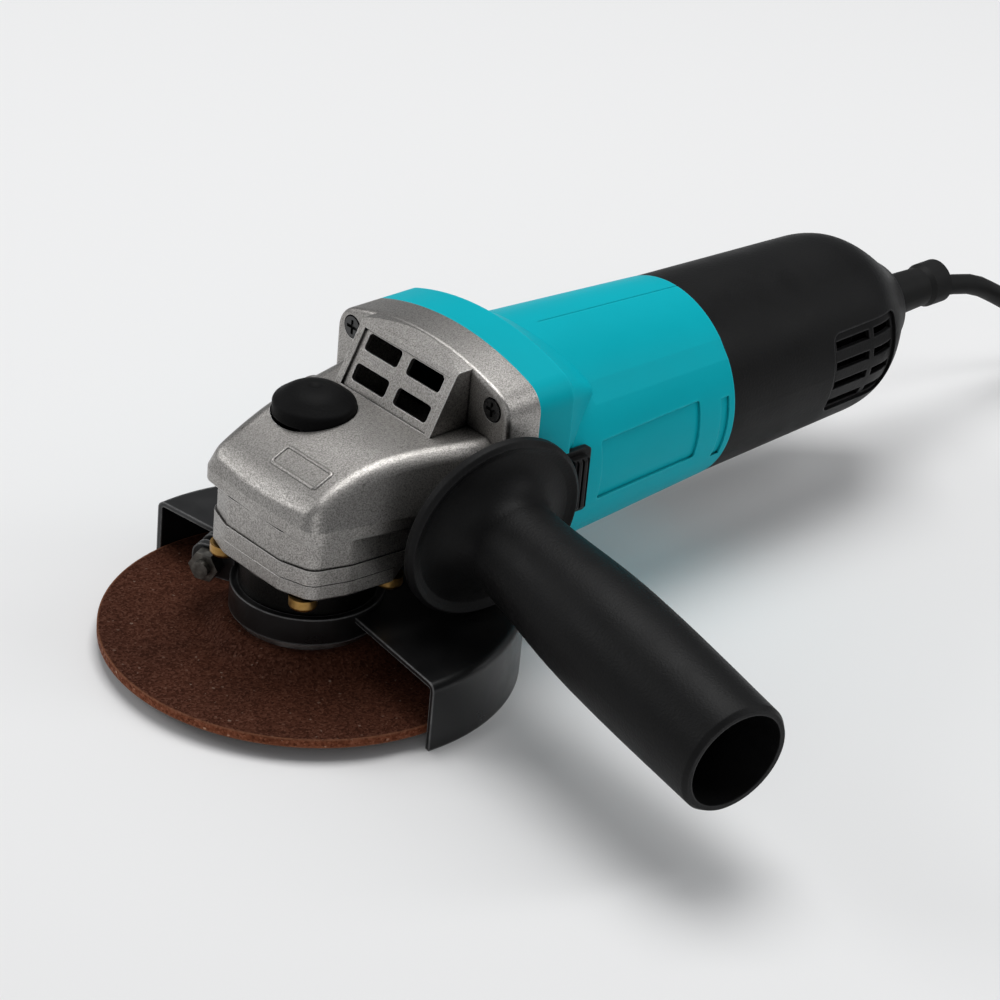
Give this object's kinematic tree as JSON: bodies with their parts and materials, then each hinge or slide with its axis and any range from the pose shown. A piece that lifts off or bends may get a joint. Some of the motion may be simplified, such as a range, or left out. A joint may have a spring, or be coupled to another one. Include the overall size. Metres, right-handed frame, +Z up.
{
  "type": "angle grinder",
  "caption": "Corded angle grinder: die-cast head with side handle, guard and wheel, slide switch, vented rear cover, and a tied cord with plug.",
  "frame": {"origin": "floor under the guard's rim, at the middle of the tool's box without its cord", "axes": "+X to the front along the motor axis, +Y to the operator's left along the side handle, +Z up along the spindle"},
  "size_m": [0.47, 0.211, 0.0882],
  "materials": {
    "alu": "cast, matt",
    "steel": "machined",
    "black_steel": "black paint",
    "zinc": "yellow zinc plating",
    "blue": "satin",
    "black": "satin",
    "white_plastic": "satin",
    "abrasive": "rough bonded grit",
    "iron": "laminated sheet",
    "copper": "copper",
    "brass": "plain",
    "carbon": "carbon",
    "rubber": "matt",
    "nickel": "polished"
  },
  "bodies": {
    "housing": {"gear_housing": "alu", "bearing_box": "alu", "housing_screws": "black_steel", "bearing_box_screws": "zinc", "spindle_bearing_outer": "steel", "bearing_retainer": "steel", "top_bush": "brass", "lock_spring": "steel", "handle_grip": "black", "handle_stud": "steel", "motor_housing": "blue", "switch_body": "black", "capacitor": "white_plastic", "front_bearing_outer": "steel", "rear_bearing_outer": "steel", "field_core": "iron", "field_coils": "copper", "air_baffle": "white_plastic", "brush_spring_top": "steel", "brush_spring_bottom": "steel", "brush_holders": "brass", "rear_cover": "black", "rear_cover_screw": "black_steel", "cord_clamp": "black", "cord_clamp_screws": "steel", "cord_guard": "rubber", "power_cord": "rubber", "cord_coil": "rubber", "coil_tie": "black", "plug_body": "rubber", "plug_pins": "nickel"},
    "spindle": {"spindle": "steel", "bevel_gear": "steel", "gear_clip": "black_steel", "spindle_bearing_inner": "steel", "inner_flange": "steel", "grinding_wheel": "abrasive", "lock_nut": "steel"},
    "armature": {"armature_shaft": "steel", "pinion": "steel", "front_bearing_inner": "steel", "rear_bearing_inner": "steel", "cooling_fan": "white_plastic", "armature_core": "iron", "armature_windings": "copper", "commutator": "copper"},
    "guard": {"wheel_guard": "black_steel", "clamp_screw": "steel", "clamp_nut": "steel"},
    "lock": {"lock_button": "black", "lock_pin": "steel"},
    "switch": {"switch_knob": "black", "switch_rod": "white_plastic"},
    "brush_top": {"carbon_brush_top": "carbon"},
    "brush_bottom": {"carbon_brush_bottom": "carbon"}
  },
  "joints": [
    {"name": "spindle_spin", "type": "hinge", "parent": "housing", "child": "spindle", "pos_m": [0.099, -0.04506, 0.0477], "axis": [0, 0, 1], "continuous": true},
    {"name": "armature_spin", "type": "hinge", "parent": "housing", "child": "armature", "pos_m": [0.099, -0.04506, 0.0477], "axis": [1, 0, 0], "continuous": true},
    {"name": "guard_turn", "type": "hinge", "parent": "housing", "child": "guard", "pos_m": [0.099, -0.04506, 0.0477], "axis": [0, 0, 1], "range_deg": [-60, 60]},
    {"name": "lock_press", "type": "slide", "parent": "housing", "child": "lock", "axis": [0, 0, -1], "range_m": [0, 0.004], "stiffness_N_per_m": 1500, "springref_m": -0.002, "deforming": ["lock_spring"]},
    {"name": "switch_slide", "type": "slide", "parent": "housing", "child": "switch", "axis": [1, 0, 0], "range_m": [0, 0.006]},
    {"name": "brush_top_slide", "type": "slide", "parent": "housing", "child": "brush_top", "axis": [0, 0, 1], "range_m": [0, 0.002], "stiffness_N_per_m": 600, "springref_m": -0.004, "deforming": ["brush_spring_top"]},
    {"name": "brush_bottom_slide", "type": "slide", "parent": "housing", "child": "brush_bottom", "axis": [0, 0, -1], "range_m": [0, 0.002], "stiffness_N_per_m": 600, "springref_m": -0.004, "deforming": ["brush_spring_bottom"]}
  ],
  "couplings": [
    {"joint": "armature_spin", "follows": "spindle_spin", "ratio": -3.3636}
  ]
}
